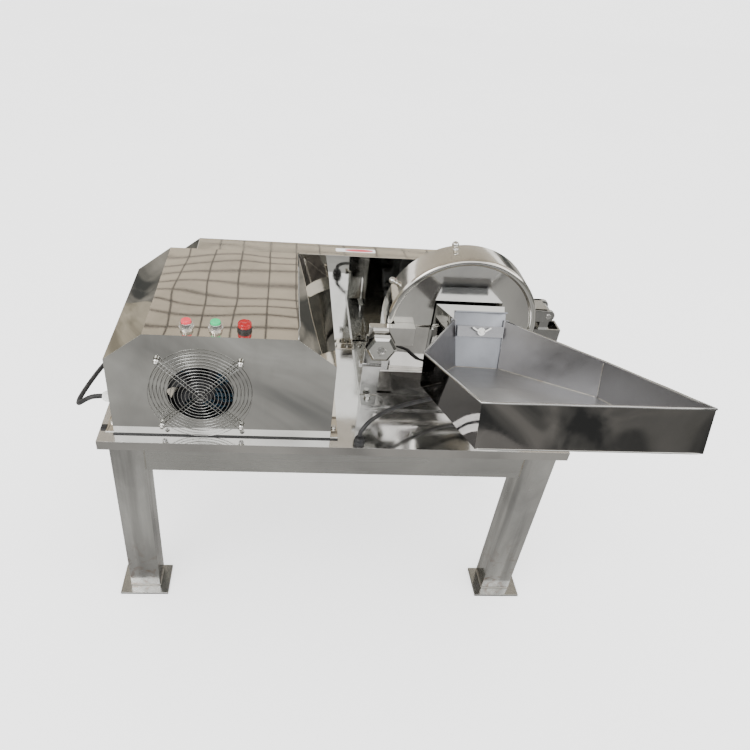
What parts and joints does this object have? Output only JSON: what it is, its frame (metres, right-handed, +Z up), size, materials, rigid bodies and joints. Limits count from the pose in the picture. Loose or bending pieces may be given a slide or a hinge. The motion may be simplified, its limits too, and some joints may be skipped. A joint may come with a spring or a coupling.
{
  "type": "hammer_mill",
  "caption": "Table-mounted hammer mill with a hinged half-round cover, tilted feed tray with slide gate, belt guard and a box cover over its fan-cooled motor.",
  "frame": {"origin": "Middle of the machine on the floor: the centre of its bounding box in plan, without the power cord, at the underside of the foot plates.", "axes": "+X runs to the right along the table, +Y to the back where the belt guard is, +Z up."},
  "size_m": [1.0969, 0.8575, 0.8566],
  "materials": {
    "satin_stainless": "satin stainless, welded and brushed",
    "mirror_stainless": "mirror polished stainless sheet",
    "tray_stainless": "mill finish stainless inside, polished outside",
    "bright_fittings": "bright turned and plated fittings",
    "machined_steel": "turned and ground steel",
    "cast_iron": "painted cast iron",
    "motor_paint": "blue grey enamel",
    "motor_windings": "lacquered windings and laminations",
    "black_fan_plastic": "matt black plastic",
    "black_plastic": "black plastic",
    "red_plastic": "glossy red",
    "green_plastic": "glossy green",
    "white_plastic": "white nylon",
    "black_rubber": "matt black rubber"
  },
  "bodies": {
    "table": {"table_top": "satin_stainless", "table_legs": "satin_stainless", "rail_front": "satin_stainless", "rail_back": "satin_stainless", "side_rails": "satin_stainless", "foot_plates": "satin_stainless", "discharge_spout": "satin_stainless", "motor_cover": "mirror_stainless", "belt_guard": "mirror_stainless", "fan_frame": "black_fan_plastic", "fan_guard": "bright_fittings", "fan_screws": "bright_fittings", "motor_frame": "motor_paint", "motor_end_shields": "motor_paint", "motor_cowl": "motor_paint", "motor_stator": "motor_windings", "motor_terminal_box": "motor_paint", "v_belts": "black_rubber", "bearing_housing": "cast_iron", "mill_bearings": "machined_steel", "mill_base": "satin_stainless", "lower_housing": "mirror_stainless", "screen": "machined_steel", "hinge_bracket": "satin_stainless", "hinge_pin": "bright_fittings", "clamp_post": "satin_stainless", "inlet_chute": "mirror_stainless", "gate_guides": "satin_stainless", "gate_strap": "satin_stainless", "feed_tray": "tray_stainless", "button_bezels": "bright_fittings", "pilot_base": "black_plastic", "pilot_lens": "red_plastic", "table_bolts": "bright_fittings", "cord_gland": "white_plastic", "sensor_cable": "black_rubber", "power_cord": "black_rubber", "cord_coil": "black_rubber", "cord_plug": "black_plastic"},
    "fan": {"fan_rotor": "black_fan_plastic"},
    "motor_rotor": {"motor_shaft": "machined_steel", "motor_pulley": "cast_iron"},
    "mill_rotor": {"mill_shaft": "machined_steel", "mill_pulley": "cast_iron", "rotor_discs": "machined_steel", "hammer_pins": "machined_steel"},
    "hammer_row_a": {"hammers_a": "machined_steel"},
    "hammer_row_b": {"hammers_b": "machined_steel"},
    "hammer_row_c": {"hammers_c": "machined_steel"},
    "hammer_row_d": {"hammers_d": "machined_steel"},
    "cover": {"upper_cover": "mirror_stainless", "cover_knobs": "bright_fittings", "cover_lug": "satin_stainless"},
    "cover_clamp": {"clamp_knob": "bright_fittings", "clamp_stud": "bright_fittings"},
    "gate": {"slide_gate": "satin_stainless"},
    "gate_screw": {"wing_screw": "bright_fittings"},
    "stop": {"stop_button": "red_plastic"},
    "start": {"start_button": "green_plastic"}
  },
  "joints": [
    {"name": "cover_hinge", "type": "hinge", "parent": "table", "child": "cover", "pos_m": [0.4275, 0.10372, 0.712], "axis": [0, 1, 0], "range_deg": [0, 100]},
    {"name": "clamp_knob_turn", "type": "hinge", "parent": "table", "child": "cover_clamp", "pos_m": [0.0635, 0.03872, 0.641], "axis": [0, 1, 0], "range_deg": [-180, 180]},
    {"name": "gate_slide", "type": "slide", "parent": "table", "child": "gate", "axis": [0, 0.5299, 0.848], "range_m": [0, 0.07]},
    {"name": "gate_screw_turn", "type": "hinge", "parent": "table", "child": "gate_screw", "pos_m": [0.251, -0.02042, 0.72791], "axis": [0, 0.848, -0.5299], "range_deg": [-180, 180]},
    {"name": "fan_spin", "type": "hinge", "parent": "table", "child": "fan", "pos_m": [-0.3075, -0.06228, 0.596], "axis": [0, 1, 0], "continuous": true},
    {"name": "motor_spin", "type": "hinge", "parent": "table", "child": "motor_rotor", "pos_m": [-0.2645, 0.13872, 0.597], "axis": [0, 1, 0], "continuous": true},
    {"name": "mill_spin", "type": "hinge", "parent": "table", "child": "mill_rotor", "pos_m": [0.2375, 0.16872, 0.677], "axis": [0, 1, 0], "continuous": true},
    {"name": "hammers_a_swing", "type": "hinge", "parent": "mill_rotor", "child": "hammer_row_a", "pos_m": [0.29053, 0.10372, 0.73003], "axis": [0, -1, 0], "range_deg": [-12, 280]},
    {"name": "hammers_b_swing", "type": "hinge", "parent": "mill_rotor", "child": "hammer_row_b", "pos_m": [0.18447, 0.10372, 0.73003], "axis": [0, -1, 0], "range_deg": [-280, 12]},
    {"name": "hammers_c_swing", "type": "hinge", "parent": "mill_rotor", "child": "hammer_row_c", "pos_m": [0.18447, 0.10372, 0.62397], "axis": [0, -1, 0], "range_deg": [-190, 100]},
    {"name": "hammers_d_swing", "type": "hinge", "parent": "mill_rotor", "child": "hammer_row_d", "pos_m": [0.29053, 0.10372, 0.62397], "axis": [0, -1, 0], "range_deg": [-100, 190]},
    {"name": "stop_press", "type": "slide", "parent": "table", "child": "stop", "axis": [0, 0, -1], "range_m": [0, 0.004], "stiffness_N_per_m": 900, "springref_m": -0.001},
    {"name": "start_press", "type": "slide", "parent": "table", "child": "start", "axis": [0, 0, -1], "range_m": [0, 0.004], "stiffness_N_per_m": 900, "springref_m": -0.001}
  ],
  "couplings": [
    {"joint": "motor_spin", "follows": "mill_spin", "ratio": 0.67742}
  ]
}
